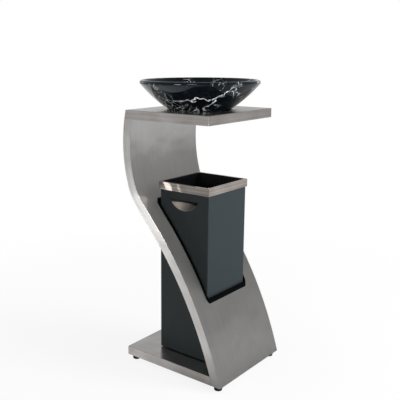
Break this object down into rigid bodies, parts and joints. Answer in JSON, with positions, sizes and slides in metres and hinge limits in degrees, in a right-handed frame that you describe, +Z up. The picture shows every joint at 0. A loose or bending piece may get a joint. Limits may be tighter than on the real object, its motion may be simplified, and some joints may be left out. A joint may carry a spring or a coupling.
{
  "type": "standing ashtray bin",
  "caption": "Free-standing ashtray bin: an S-curved sheet-steel stand with a dished stone bowl on its top shelf and a tall lift-out bin standing through an opening in the curved panel.",
  "frame": {"origin": "centre of the footprint box on the floor, under the feet", "axes": "+X to the stand's right as seen from its front, -Y towards the front where the bin is reached, +Z up"},
  "size_m": [0.33, 0.3534, 0.8125],
  "materials": {
    "brushed_stainless": "fine brushed grain, satin",
    "plated_steel": "zinc plated, dull",
    "charcoal_powder_coat": "satin powder coat",
    "polished_black_stone": "polished, white veins",
    "black_rubber": "matte"
  },
  "bodies": {
    "stand": {"base_pan": "brushed_stainless", "base_plate": "plated_steel", "plate_cleats": "plated_steel", "plate_screws": "plated_steel", "panel_front_skin": "brushed_stainless", "panel_rear_skin": "brushed_stainless", "panel_left_edge": "brushed_stainless", "panel_right_edge": "brushed_stainless", "panel_foot_plate": "plated_steel", "opening_left_lining": "brushed_stainless", "opening_right_lining": "brushed_stainless", "opening_upper_lining": "brushed_stainless", "opening_lower_lining": "brushed_stainless", "opening_edging": "black_rubber", "panel_bolts": "plated_steel", "panel_nuts": "plated_steel", "shelf_tray": "brushed_stainless", "shelf_underside": "brushed_stainless", "front_left_foot": "black_rubber", "front_right_foot": "black_rubber", "rear_left_foot": "black_rubber", "rear_right_foot": "black_rubber", "foot_screws": "plated_steel", "foot_nuts": "plated_steel"},
    "bin": {"bin_shell": "charcoal_powder_coat", "bin_floor": "charcoal_powder_coat", "left_handle_cup": "brushed_stainless", "right_handle_cup": "brushed_stainless", "bin_bumpers": "black_rubber"},
    "collar": {"bin_collar": "brushed_stainless"},
    "bowl": {"stone_bowl": "polished_black_stone", "bowl_pads": "black_rubber"}
  },
  "joints": [
    {"name": "bin_lift", "type": "slide", "parent": "stand", "child": "bin", "axis": [0, 0, 1], "range_m": [0, 0.12]},
    {"name": "collar_lift", "type": "slide", "parent": "bin", "child": "collar", "axis": [0, 0, 1], "range_m": [0, 0.045]},
    {"name": "bowl_lift", "type": "slide", "parent": "stand", "child": "bowl", "axis": [0, 0, 1], "range_m": [0, 0.15]}
  ]
}
